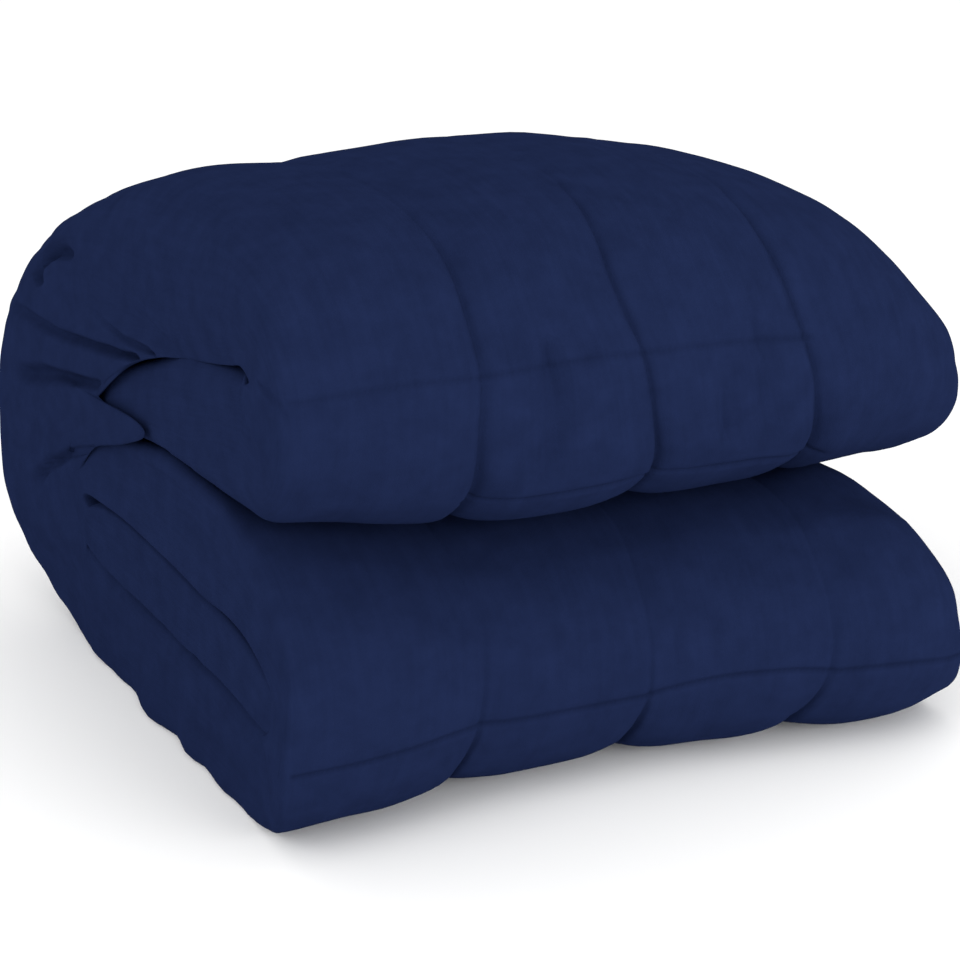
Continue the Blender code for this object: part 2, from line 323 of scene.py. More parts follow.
# ---- sewing ----------------------------------
# The thin edge seams that cross the channels. The drifts are how far a seam lies from an even line at the two
# ends, and the sags how far it hangs in the two middle channels.
SEAM_FIELDS = "place length first_share last_share depth left_drift right_drift second_sag third_sag"
Seam = namedtuple("Seam", SEAM_FIELDS)
EDGE_SEAMS = [Seam(*row) for row in (
    ("upper face, upper seam", 1.7385, 0.012, 0.76, 0.001, 0.004, 0.0, 0.0015, 0.0),
    ("upper face, lower seam", 1.7885, 0.24, 0.775, 0.002, 0.0, 0.0, 0.0045, 0.0045),
    ("lower face", 0.693, 0.006, 0.99, 0.0018, 0.006, -0.003, 0.0, 0.005),
)]
# The shares of the width where the drifts end and begin, and how far from a seam the cloth goes with it.
LEFT_DRIFT_FADES = (0.0, 0.26)
RIGHT_DRIFT_SETS_IN = (0.45, 0.90)
SEAM_PULL_FADES = (0.004, 0.025)
# The mesh's rows beside a seam, how far other rows keep clear of them, and the groove's half width.
SEAM_ROWS = (-0.0050, -0.0016, 0.0, 0.0016, 0.0050)
SEAM_ROWS_CLEAR = 0.003
SEAM_HALF_WIDTH = 0.0016
# The depth of a seam whose dark line shows in full: the thread's colour together with painted shade of its
# groove, darker the deeper the seam.
FULLY_DARK_SEAM_DEPTH = 0.0018
# The sharp groove that a quilting line sinks into the pile, the width of its line of thread and painted
# groove shade, and the shares of the width between which the quilting lies.
QUILTING_DEPTH = 0.0016
QUILTING_HALF_WIDTH = 0.0070
STITCH_WIDTH = 0.0012
QUILTED_SHARES = (0.1, 0.9)
# How much of the groove, and of its painted shade with the thread, shows along the fold, and how crisply the
# channels puff up there.
Shown = namedtuple("Shown", "length share")
QUILTING_SHOWN = [Shown(*row) for row in (
    (0.0, 0.6),
    (0.58, 0.15),
    (0.66, 0.22),
    (0.7, 0.65),
    (0.74, 1.4),
    (0.85, 0.8),
    (1.1, 0.5),
    (1.4, 0.1),
    (1.6, 0.08),
    (1.66, 0.38),
    (1.7, 0.85),
    (1.76, 0.8),
    (1.8, 1.2),
    (2.08, 0.6),
)]

# ---- creases and swellings -------------------
# A crease runs over the cloth between (length along the fold, share of the width) points. A share below 0 is
# on the left end's face: -1 is its inner edge and 0 its outer one. Its depth goes from the first figure to
# the second one along it.
Crease = namedtuple("Crease", "place first_depth last_depth half_width points")
CREASES = [Crease(*row) for row in (
    ("fold above the flap", 0.005, 0.013, 0.009, (
        (1.287, -0.03), (1.29, -0.13), (1.294, -0.34), (1.3, -0.49), (1.311, -0.61), (1.331, -0.79),
        (1.361, -0.96), (1.38, -1.0),
    )),
    ("fold behind the flap", 0.011, 0.0075, 0.008, (
        (1.244, -0.21), (1.254, -0.45), (1.26, -0.63), (1.272, -0.87), (1.281, -1.0),
    )),
    ("pocket behind the inner turn", 0.008, 0.008, 0.0075, (
        (1.178, -0.45), (1.186, -0.57), (1.19, -0.69), (1.198, -0.82), (1.204, -1.0),
    )),
    ("tuck at the shoulder", 0.014, 0.012, 0.0078, (
        (1.338, -0.02), (1.351, 0.0001), (1.36, 0.0008), (1.372, 0.0011), (1.388, 0.0008), (1.408, 0.0006),
    )),
    ("pleat under the shoulder", 0.001, 0.0065, 0.0085, (
        (1.375, -0.44), (1.379, -0.65), (1.392, -0.82), (1.425, -0.95),
    )),
    ("first pleat of the crown", 0.0006, 0.0014, 0.012, (
        (1.513, 0.0074), (1.54, 0.0042), (1.567, 0.0015), (1.588, 0.0003),
    )),
    ("second pleat of the crown", 0.0006, 0.0008, 0.009, (
        (1.55, 0.0072), (1.587, 0.0025), (1.605, 0.0013),
    )),
    ("third pleat of the crown", 0.0006, 0.0008, 0.008, ((1.576, 0.0152), (1.594, 0.0064))),
    ("fourth pleat of the crown", 0.001, 0.0008, 0.0085, (
        (1.611, 0.0018), (1.639, 0.0009), (1.671, 0.0002),
    )),
    ("fifth pleat of the crown", 0.0008, 0.001, 0.008, (
        (1.675, 0.0079), (1.696, 0.0046), (1.716, 0.008),
    )),
    ("where the flap leaves the crown", 0.002, 0.0018, 0.005, (
        (1.729, -0.3), (1.738, 0.003), (1.7425, 0.0093),
    )),
    ("first pucker above the upper seam", 0.0014, 0.0054, 0.011, ((1.719, 0.286), (1.733, 0.291))),
    ("second pucker above the upper seam", 0.0016, 0.0064, 0.012, ((1.722, 0.405), (1.7365, 0.41))),
    ("first pucker under the upper seam", 0.0105, 0.007, 0.0125, (
        (1.737, 0.352), (1.748, 0.345), (1.758, 0.342), (1.776, 0.338),
    )),
    ("pucker beside the last seam", 0.0085, 0.005, 0.012, (
        (1.7385, 0.679), (1.755, 0.6687), (1.776, 0.654),
    )),
    ("pucker in the third channel", 0.004, 0.009, 0.012, (
        (1.741, 0.618), (1.755, 0.612), (1.768, 0.606),
    )),
)]
# How wide the left end's face is, and the part of the outer side that rolls over it: how far in that goes, as
# a share of the width, and how much cloth the roll takes up.
END_DEPTH = 0.090
ROLL_SHARE = 0.080
ROLL_CLOTH = 0.060

# A swelling lifts the outer side around one place; both radii are in metres.
Swelling = namedtuple("Swelling", "place length share height length_radius across_radius")
SWELLINGS = [Swelling(*row) for row in (
    ("bunch at the base, back", 0.938, 0.0, 0.008, 0.045, 0.06),
    ("bunch at the base, middle", 0.872, 0.0, 0.0045, 0.03, 0.05),
    ("bunch at the base, front", 0.822, 0.0, 0.003, 0.026, 0.05),
    ("hollow over the heel", 1.092, 0.0, -0.011, 0.055, 0.08),
    ("bunch behind the pocket", 1.18, 0.0, 0.004, 0.04, 0.06),
    ("dent in front of the upper half", 0.575, 0.85, -0.007, 0.035, 0.045),
    ("full lower corner of the upper half", 1.762, 0.995, 0.007, 0.036, 0.05),
    ("slack lower corner of the lower half", 0.672, 0.995, -0.006, 0.05, 0.05),
    ("lower layer under the flap", 0.455, 0.008, 0.009, 0.12, 0.045),
)]

# Slow waves that loose filling leaves in the cloth, away from the stitched lines.
WAVE_HEIGHT = 0.0018
WAVE_SIZE = 0.075
WAVES_SET_IN = (0.0, 0.02)
# Short ripples beside the stitched lines: how far from a line they are highest, and where they have faded.
RIPPLE_HEIGHT = 0.0011
RIPPLE_SIZE = 0.016
RIPPLE_LENGTH = 0.06
RIPPLE_PLACE = 0.012
RIPPLE_FADE = 0.034

# ---- simulation ------------------------------
# The frames that the cloth is given to settle over the filling, and how hard that presses it out.
SETTLING_FRAMES = 20
PRESSURE = 4.0
# How far a point of each side may move, and the share of that which is left where no quilting shows.
OUTER_CAP = 0.003
INNER_CAP = 0.001
SLACKEST = 0.1

# ---- stage -----------------------------------
# The camera stands where the photograph was taken from, in metres, degrees and millimetres.
CAMERA_PLACE = (-0.7132, -1.2132, 0.6740)
CAMERA_AZIMUTH = -30.0
CAMERA_ELEVATION = 21.0
CAMERA_LENS = 75.0
CAMERA_SENSOR = 36.0
# Large soft lamps on every side that the camera sees, so that only deep folds go dark.
Lamp = namedtuple("Lamp", "place azimuth elevation power")
LAMPS = [Lamp(*row) for row in (
    ("key light", 20.0, 9.0, 45.0),
    ("fill light", -75.0, 32.0, 19.0),
    ("top light", -20.0, 70.0, 4.0),
)]
LAMP_DISTANCE = 2.8
LAMP_SIZE = 1.8
LAMP_AIM = (0.0, 0.0, 0.2)


def smooth_step(low, high, value):
    """0 below low, 1 above high, and an even S between them."""
    t = min(1.0, max(0.0, (value - low) / (high - low)))
    return t * t * (3 - 2 * t)


def mixed(a, b, share):
    """The number that lies this share of the way from a to b."""
    return a + (b - a) * share


def eased(points, at):
    """The height at place at of a smooth line through (place, height) points."""
    last = len(points) - 1
    i = 0
    while i < last - 1 and points[i + 1][0] < at:
        i += 1
    slopes = []
    for k in (i, i + 1):
        a, b = points[max(0, k - 1)], points[min(last, k + 1)]
        slopes.append((b[1] - a[1]) / (b[0] - a[0]))
    run = points[i + 1][0] - points[i][0]
    t = (at - points[i][0]) / run
    start = points[i][1] * (2 * t**3 - 3 * t**2 + 1) + slopes[0] * run * (t**3 - 2 * t**2 + t)
    return start + points[i + 1][1] * (3 * t**2 - 2 * t**3) + slopes[1] * run * (t**3 - t**2)


def row_at(rows, key, at):
    """Every number of a table's rows, read at any value of its key column by a straight line."""
    places = [getattr(row, key) for row in rows]
    i = 0
    while i < len(rows) - 2 and places[i + 1] < at:
        i += 1
    t = min(1.0, max(0.0, (at - places[i]) / (places[i + 1] - places[i])))
    first = rows[i]._fields.index(key) + 1
    return [mixed(a, b, t) for a, b in zip(rows[i][first:], rows[i + 1][first:])]


def eased_rows(rows, key, count):
    """A fine table of (key value, [numbers]) with smooth lines through every column of a table's rows."""
    places = [getattr(row, key) for row in rows]
    first = rows[0]._fields.index(key) + 1
    columns = [[(place, row[k]) for place, row in zip(places, rows)] for k in range(first, len(rows[0]))]
    fine = []
    for step in range(count + 1):
        at = mixed(places[0], places[-1], step / count)
        fine.append([eased(column, at) for column in columns])
    return places[0], places[-1], fine


def read_fine(table, at):
    """Every number of a fine table at one value of its key."""
    low, high, fine = table
    place = min(1.0, max(0.0, (at - low) / (high - low))) * (len(fine) - 1)
    i = min(len(fine) - 2, int(place))
    return [mixed(a, b, place - i) for a, b in zip(fine[i], fine[i + 1])]


class Fold:
    """The smooth fold line, read by length along it."""

    def __init__(self, plumpness):
        knots = [Vector((row.y, row.z, row.loft * plumpness, row.seam)) for row in FOLD_LINE]
        places = [0.0]
        for a, b in zip(knots, knots[1:]):
            places.append(places[-1] + (b.xy - a.xy).length ** FOLD_PACE)
        lines = [[(place, knot[k]) for place, knot in zip(places, knots)] for k in range(4)]
        self.curve = []
        for a, b in zip(places, places[1:]):
            for step in range(FINE_STEPS):
                at = mixed(a, b, step / FINE_STEPS)
                self.curve.append(Vector([eased(line, at) for line in lines]))
        self.curve.append(knots[-1])
        self.lengths = [0.0]
        for a, b in zip(self.curve, self.curve[1:]):
            self.lengths.append(self.lengths[-1] + (b.xy - a.xy).length)

    def at(self, length):
        """(y, z, loft, seam) at one length."""
        low, high = 0, len(self.lengths) - 1
        while high - low > 1:
            middle = (low + high) // 2
            if self.lengths[middle] <= length:
                low = middle
            else:
                high = middle
        share = (length - self.lengths[low]) / (self.lengths[high] - self.lengths[low])
        return self.curve[low].lerp(self.curve[high], share)

    def rows(self):
        """Lengths of the mesh's rows: closer where the fold bends or shows, and beside the edge seams."""
        cost = [0.0]
        heading = None
        for i, (a, b) in enumerate(zip(self.curve, self.curve[1:])):
            now = math.atan2(b.y - a.y, b.x - a.x)
            bend = 0.0
            if heading is not None:
                bend = abs((now - heading + math.pi) % (2 * math.pi) - math.pi)
            heading = now
            step = next(row.step for row in STRETCHES if self.lengths[i] < row.length)
            cost.append(cost[-1] + (b.xy - a.xy).length / step + bend / WIDEST_BEND)
        count = math.ceil(cost[-1])
        rows = []
        i = 0
        for row in range(count + 1):
            wanted = cost[-1] * row / count
            while i < len(cost) - 2 and cost[i + 1] < wanted:
                i += 1
            share = (wanted - cost[i]) / (cost[i + 1] - cost[i])
            rows.append(mixed(self.lengths[i], self.lengths[i + 1], share))
        for seam in EDGE_SEAMS:
            wanted = [seam.length + aside for aside in SEAM_ROWS]
            clear = SEAM_ROWS[-1] + SEAM_ROWS_CLEAR
            rows = [at for at in rows if abs(at - seam.length) > clear] + wanted
        return sorted(rows)


def bulge(inset, squareness):
    """The height of a filled edge, 1 at inset 0 and 0 at inset 1."""
    return max(0.0, 1 - inset**squareness) ** (1 / squareness)


def columns_at(length, loft):
    """(share, end fullness, drop) of every column at one row: rounded ends and four channels."""
    left_reach, left_rim, left_drop, right_reach, right_rim, right_drop = row_at(ENDS, "length", length)
    left = max(LEAST_LEFT_REACH, loft * left_reach) / WIDTH
    right = max(LEAST_RIGHT_REACH, loft * right_reach) / WIDTH
    steps = []
    for angle in END_ANGLES:
        inset = math.cos(math.radians(angle)) ** (2 / END_SQUARENESS)
        steps.append((1 - inset, bulge(inset, END_SQUARENESS)))
    columns = [(left * step, mixed(left_rim, 1, full), left_drop) for step, full in steps]
    columns.append((left, 1.0, 0.0))
    columns += [(mixed(left, FIRST_SEAM, f), 1.0, 0.0) for f in LEFT_CHANNEL_COLUMNS]
    for channel in range(1, CHANNELS - 1):
        columns += [((channel + f) / CHANNELS, 1.0, 0.0) for f in CHANNEL_COLUMNS]
    columns.append((LAST_SEAM, 1.0, 0.0))
    columns += [(mixed(LAST_SEAM, 1 - right, f), 1.0, 0.0) for f in RIGHT_CHANNEL_COLUMNS]
    columns.append((1 - right, 1.0, 0.0))
    columns += [(1 - right * step, mixed(right_rim, 1, full), right_drop) for step, full in reversed(steps)]
    return columns


def off_middle(share):
    """How far a share of the width is from its channel's middle: 0 there and 1 on a quilting line."""
    return abs(2 * ((share * CHANNELS) % 1.0) - 1)


def off_line(share):
    """How far a share of the width is from the nearest quilting line or end, in metres."""
    return abs(share * CHANNELS - round(share * CHANNELS)) / CHANNELS * WIDTH


def channel_loft(share, seam, shown):
    """How full the filling is at this share of the width: 1 mid-channel, seam on a quilting line.

    The channels puff up crisply where the quilting shows, and swell slowly where it doesn't.
    """
    if not FIRST_SEAM / 2 <= share <= 1 - FIRST_SEAM / 2:
        return 1.0
    aside = off_middle(share)
    slow = 1 - smooth_step(0.0, 1.0, aside)
    return mixed(seam, 1.0, mixed(slow, bulge(aside, CHANNEL_SQUARENESS), min(1.0, shown)))


LIE_TABLE = eased_rows(LIES, "share", 400)
WANDER_TABLE = eased_rows(WANDERS, "length", 600)
INWARD_TABLE = eased_rows(INWARDS, "length", 800)
SHOWN_TABLE = eased_rows(QUILTING_SHOWN, "length", 200)


def wandered(share, length):
    """The share of the width where the cloth of an even share really lies."""
    moves = (0.0, *read_fine(WANDER_TABLE, length), 0.0)
    i = min(CHANNELS - 1, int(share * CHANNELS))
    across = smooth_step(i / CHANNELS, (i + 1) / CHANNELS, share)
    return share + mixed(moves[i], moves[i + 1], across)


def seam_drift(share, length):
    """How far along the fold an edge seam, and the cloth beside it, lies from an even line."""
    left = 1 - smooth_step(*LEFT_DRIFT_FADES, share)
    right = smooth_step(*RIGHT_DRIFT_SETS_IN, share)
    middle = 1 - off_middle(share) ** 2 if FIRST_SEAM < share < LAST_SEAM else 0.0
    drift = 0.0
    for seam in EDGE_SEAMS:
        near = 1 - smooth_step(*SEAM_PULL_FADES, abs(length - seam.length))
        sag = seam.second_sag if share < 0.5 else seam.third_sag
        drift += near * (seam.left_drift * left + seam.right_drift * right - sag * middle)
    return drift


def settled(share, y, z):
    """Where a point of the even section lies at this share of the width, and its layer's squeeze."""
    lie = Lie("", share, *read_fine(LIE_TABLE, share))
    front = 1 - smooth_step(*FORWARD_FADES, y)
    closed = smooth_step(*GAP_CLOSES, y)
    middle = (lie.bed + lie.under) / 2
    bed = mixed(lie.bed, middle, closed)
    under = mixed(lie.under, middle, closed)
    if z < BED:
        squeeze = bed / BED
        z *= squeeze
        y -= lie.lower_out * front
    else:
        squeeze = (lie.crown - under) / (CROWN - BED)
        z = under + (z - BED) * squeeze
        y -= lie.upper_out * front
    back_squeeze = mixed(lie.bed / BED, lie.crown / CROWN, smooth_step(*SQUEEZE_TURNS, z))
    squeeze = mixed(squeeze, back_squeeze, closed)
    x = lie.x + lie.spread * smooth_step(*SPREAD_SETS_IN, y) + lie.lean * smooth_step(*LEAN_SETS_IN, z)
    return Vector((x - CENTRE_X, y - CENTRE_Y, z)), squeeze


def linked(mesh, name):
    """Puts a mesh in the scene as an object."""
    piece = bpy.data.objects.new(name, mesh)
    bpy.context.scene.collection.objects.link(piece)
    return piece


def applied(piece):
    """Makes a piece's modifiers part of its mesh."""
    deps = bpy.context.evaluated_depsgraph_get()
    mesh = bpy.data.meshes.new_from_object(piece.evaluated_get(deps))
    old = piece.data
    piece.modifiers.clear()
    piece.data = mesh
    bpy.data.meshes.remove(old)


# One point of the sheet's middle: its share of the width and its length along the fold, where it lies, its
# share of the thickest loft, how full the end's rounding leaves it and which side rounds off, how deep its
# inner side lies, how far that is gathered, and where to.
Cell = namedtuple("Cell", "share length point weight full drop deeper gathered gather_point")


def filled_sheet(plumpness):
    """The blanket as a coarse closed mesh with its place in the cloth kept on every point."""
    fold = Fold(plumpness)
    lengths = fold.rows()
    thickest = max(row.loft for row in FOLD_LINE) * plumpness
    cells = []
    for length in lengths:
        inward = read_fine(INWARD_TABLE, length)[0]
        shown = read_fine(SHOWN_TABLE, length)[0]
        gather_y, gather_z, pull, tuck = row_at(GATHERS, "length", length)
        tip_near = 1 - smooth_step(0.0, TIP_FADE_LENGTH, length)
        corner_near = 1 - smooth_step(0.0, CORNER_FADE_LENGTH, abs(length - CORNER_LENGTH))
        for share, full, drop in columns_at(length, fold.at(length)[2]):
            y, z, loft, seam = fold.at(length + seam_drift(share, length))
            tip = (1 - smooth_step(0.0, TIP_FADE_SHARE, share)) * tip_near
            point, squeeze = settled(wandered(share, length), y - TIP_REACH * tip, z - TIP_DROP * tip)
            point.x -= CORNER_REACH * corner_near * (1 - smooth_step(0.0, CORNER_FADE_SHARE, share))
            weight = channel_loft(share, seam, shown) * loft * squeeze / thickest
            deeper = 1 + inward * (1 - smooth_step(*INWARD_FADES, share)) / loft
            gathered = pull * (1 - smooth_step(*GATHER_FADES, share))
            gather_point = Vector((GATHER_X + tuck + share * WIDTH, gather_y, gather_z))
            cells.append(Cell(share, length, point, weight, full, drop, deeper, gathered, gather_point))
    sheet = bmesh.new()
    columns = len(cells) // len(lengths)
    bmesh.ops.create_grid(sheet, x_segments=columns - 1, y_segments=len(lengths) - 1, size=0.5)
    for vert, cell in zip(sheet.verts, cells):
        vert.co = cell.point
    mesh = bpy.data.meshes.new("weighted_blanket")
    sheet.to_mesh(mesh)
    sheet.free()
    piece = linked(mesh, "weighted_blanket")
    group = piece.vertex_groups.new(name="loft")
    for index, cell in enumerate(cells):
        group.add([index], cell.weight, "REPLACE")
    filling = piece.modifiers.new("filling", "SOLIDIFY")
    filling.thickness = thickest
    filling.offset = 0.0
    filling.vertex_group = "loft"
    applied(piece)
    mesh = piece.data
    # The first half of the points is the inner side, and the second half the outer one.
    half = len(cells)
    points = points_of(mesh)
    for index, cell in enumerate(cells):
        out = points[index + half]
        inner = out.lerp(points[index], cell.deeper)
        meet = inner.lerp(out, 0.5 - cell.drop / 2)
        points[index] = meet.lerp(inner, cell.full).lerp(cell.gather_point, cell.gathered)
        points[index + half] = meet.lerp(out, cell.full)
    put_points(mesh, points)
    places = {
        "share": [cell.share for cell in cells] * 2,
        "length": [cell.length for cell in cells] * 2,
        "outer": [0.0] * half + [1.0] * half,
    }
    for name, values in places.items():
        mesh.attributes.new(name, "FLOAT", "POINT").data.foreach_set("value", values)
    shell = bmesh.new()
    shell.from_mesh(mesh)
    # The edges that join the two sides round the rim.
    rungs = [edge for edge in shell.edges if abs(edge.verts[0].index - edge.verts[1].index) == half]
    bmesh.ops.subdivide_edges(shell, edges=rungs, cuts=END_STRIPS - 1, use_grid_fill=True)
    shell.to_mesh(mesh)
    shell.free()
    return piece


def points_of(mesh):
    """A mesh's points, as vectors."""
    flat = [0.0] * (len(mesh.vertices) * 3)
    mesh.vertices.foreach_get("co", flat)
    return [Vector(flat[k : k + 3]) for k in range(0, len(flat), 3)]


def values_of(mesh, name):
    """A number kept on every point of a mesh."""
    values = [0.0] * len(mesh.vertices)
    mesh.attributes[name].data.foreach_get("value", values)
    return values


def put_points(mesh, points):
    """Moves a mesh's points."""
    mesh.vertices.foreach_set("co", [value for point in points for value in point])
    mesh.update()


def blown_up(piece):
    """Lets the filling press the cloth out between the stitched lines, each point no further than its cap."""
    mesh = piece.data
    before = points_of(mesh)
    # The points on a quilting line are sewn down, and those on the floor are pressed there.
    stitched = piece.vertex_groups.new(name="stitched")
    for index, share in enumerate(values_of(mesh, "share")):
        quilted = QUILTED_SHARES[0] < share < QUILTED_SHARES[1] and off_line(share) < STITCH_WIDTH
        if quilted or before[index].z < 0.001:
            stitched.add([index], 1.0, "REPLACE")
    cloth = piece.modifiers.new("filling pressure", "CLOTH")
    cloth.settings.quality = 4
    cloth.settings.mass = 0.3
    cloth.settings.use_pressure = True
    cloth.settings.uniform_pressure_force = PRESSURE
    cloth.settings.effector_weights.gravity = 0.0
    cloth.settings.vertex_group_mass = stitched.name
    # The cloth is cut 3 % larger than it lies, so that it puffs up.
    cloth.settings.shrink_min = -0.03
    cloth.collision_settings.use_collision = False
    scene = bpy.context.scene
    for step in range(1, SETTLING_FRAMES + 1):
        scene.frame_set(step)
    deps = bpy.context.evaluated_depsgraph_get()
    swollen = points_of(piece.evaluated_get(deps).data)
    piece.modifiers.remove(cloth)
    scene.frame_set(1)
    places = zip(values_of(mesh, "length"), values_of(mesh, "outer"))
    after = []
    for old, new, vert, (length, side) in zip(before, swollen, mesh.vertices, places):
        slack = min(1.0, mixed(SLACKEST, 1.0, read_fine(SHOWN_TABLE, length)[0]))
        cap = mixed(INNER_CAP, OUTER_CAP * slack, side)
        rise = min(cap, max(0.0, (new - old).dot(vert.normal)))
        after.append(old + vert.normal * rise)
    put_points(mesh, after)


def refined_end(piece):
    """Cuts the long faces of the left end finer across the end, for the creases there."""
    mesh = piece.data
    shell = bmesh.new()
    shell.from_mesh(mesh)
    share = shell.verts.layers.float["share"]
    length = shell.verts.layers.float["length"]
    side = shell.verts.layers.float["outer"]
    edges = []
    for edge in shell.edges:
        a, b = edge.verts
        at_end = max(a[share], b[share]) < AT_END and FINE_END[0] < a[length] < FINE_END[1]
        if at_end and abs(a[side] - b[side]) > 0.01 and abs(a[length] - b[length]) < 0.001:
            edges.append(edge)
    bmesh.ops.subdivide_edges(shell, edges=edges, cuts=FINE_END_CUTS, use_grid_fill=True)
    shell.to_mesh(mesh)
    shell.free()


def groove(aside, half_width):
    """The depth of a soft groove, from 1 on its line to 0 at its half width."""
    t = min(1.0, aside / half_width)
    return (1 - t * t) ** 2


def line_distance(points, at):
    """How far at is from a line through points, and the share of the line's length where it is nearest."""
    runs = [(b - a).length for a, b in zip(points, points[1:])]
    best = (1e9, 0.0)
    gone = 0.0
    for a, b, run in zip(points, points[1:], runs):
        t = min(1.0, max(0.0, (at - a).dot(b - a) / run**2))
        far = (at - a.lerp(b, t)).length
        if far < best[0]:
            best = (far, (gone + t * run) / sum(runs))
        gone += run
    return best


def cloth_across(share, side):
    """How far across the cloth a point is, which runs on from the outer side over the left end's face."""
    if share < 0:
        return share * END_DEPTH
    rolled = ROLL_CLOTH * bulge(max(0.0, 1 - share / ROLL_SHARE), END_SQUARENESS)
    return share * WIDTH + rolled - (1 - side) * END_DEPTH


def sewing_at(share, length, side):
    """How deep the sewing sinks the cloth in, and how dark its line is painted, 1 on a full line of stitches:
    the thread's colour with painted shade of the groove, growing with its depth.
    """
    sink = 0.0
    stitched = 0.0
    aside = off_line(share)
    if QUILTED_SHARES[0] < share < QUILTED_SHARES[1] and aside < QUILTING_HALF_WIDTH:
        shown = read_fine(SHOWN_TABLE, length)[0]
        sink = QUILTING_DEPTH * shown * (1 - aside / QUILTING_HALF_WIDTH) ** 2
        # The line's painted darkness, thread and groove shade together, fades where the groove shows less.
        stitched = min(1.0, shown) * max(0.0, 1 - aside / STITCH_WIDTH)
    if side > 0.5:
        for seam in EDGE_SEAMS:
            near = 1 - abs(length - seam.length) / SEAM_HALF_WIDTH
            if near > 0 and seam.first_share < share < seam.last_share:
                sink += seam.depth * near
                # A deeper seam gets a darker line: painted groove shade together with its thread.
                stitched = max(stitched, seam.depth / FULLY_DARK_SEAM_DEPTH * near)
    return sink, stitched


def waves_at(share, length):
    """How deep the waves of loose filling, and the ripples beside the sewing, leave the cloth."""
    beside = off_line(share)
    still = smooth_step(*WAVES_SET_IN, beside)
    place = Vector((length, share * WIDTH, 0.0)) / WAVE_SIZE
    # The added vectors only choose which part of the endless noise is read.
    slow = noise.noise(place + Vector((7.1, 3.3, 0.5)))
    quick = noise.noise(place * 2.3 + Vector((1.7, 9.2, 4.5)))
    ripple = noise.noise(Vector((length / RIPPLE_SIZE, share * WIDTH / RIPPLE_LENGTH, 2.5)))
    waves = WAVE_HEIGHT * still * (slow + 0.5 * quick)
    return waves + RIPPLE_HEIGHT * ripple * groove(abs(beside - RIPPLE_PLACE), RIPPLE_FADE)


def crease_lines():
    """(crease, its line over the cloth in metres, the least and greatest length that it touches)."""
    lines = []
    for crease in CREASES:
        line = [Vector((length, cloth_across(share, 1.0))) for length, share in crease.points]
        lengths = [point.x for point in line]
        lines.append((crease, line, min(lengths) - crease.half_width, max(lengths) + crease.half_width))
    return lines


def creased_at(lines, length, across):
    """How deep the creases and swellings leave the cloth."""
    sink = 0.0
    for swelling in SWELLINGS:
        aside = (across - cloth_across(swelling.share, 1.0)) / swelling.across_radius
        far = math.hypot((length - swelling.length) / swelling.length_radius, aside)
        sink -= swelling.height * groove(far, 1.0)
    for crease, line, low, high in lines:
        if low < length < high:
            aside, along = line_distance(line, Vector((length, across)))
            depth = mixed(crease.first_depth, crease.last_depth, along)
            sink += depth * groove(aside, crease.half_width)
    return sink


def sewn(piece):
    """Works the sewing, creases and soft waves into the cloth, and presses the base flat."""
    mesh = piece.data
    lines = crease_lines()
    cloth = zip(values_of(mesh, "share"), values_of(mesh, "length"), values_of(mesh, "outer"))
    after = []
    places = []
    for point, vert, (share, length, side) in zip(points_of(mesh), mesh.vertices, cloth):
        across = cloth_across(share, side)
        sink, stitched = sewing_at(share, length, side)
        if side > 0.5:
            sink += waves_at(share, length)
        if side > 0.5 or share < AT_END:
            sink += creased_at(lines, length, across)
        point -= vert.normal * sink
        point.z = max(0.0, point.z)
        after.append(point)
        places.extend((across, length, stitched))
    put_points(mesh, after)
    place = mesh.attributes.new("cloth_place", "FLOAT_VECTOR", "POINT")
    place.data.foreach_set("vector", places)


def linear(hex_colour):
    """A linear red, green, blue and alpha from an sRGB hex colour."""
    channels = [int(hex_colour[k : k + 2], 16) / 255 for k in (1, 3, 5)]
    return [c / 12.92 if c <= 0.04045 else ((c + 0.055) / 1.055) ** 2.4 for c in channels] + [1.0]


def add_node(tree, kind, settings, links):
    """Adds a node: settings are its own properties or unlinked inputs, links are inputs fed by outputs."""
    node = tree.nodes.new("ShaderNode" + kind)
    for name, value in settings.items():
        if isinstance(name, str) and hasattr(node, name):
            setattr(node, name, value)
        else:
            node.inputs[name].default_value = value
    for name, output in links.items():
        tree.links.new(output, node.inputs[name])
    return node


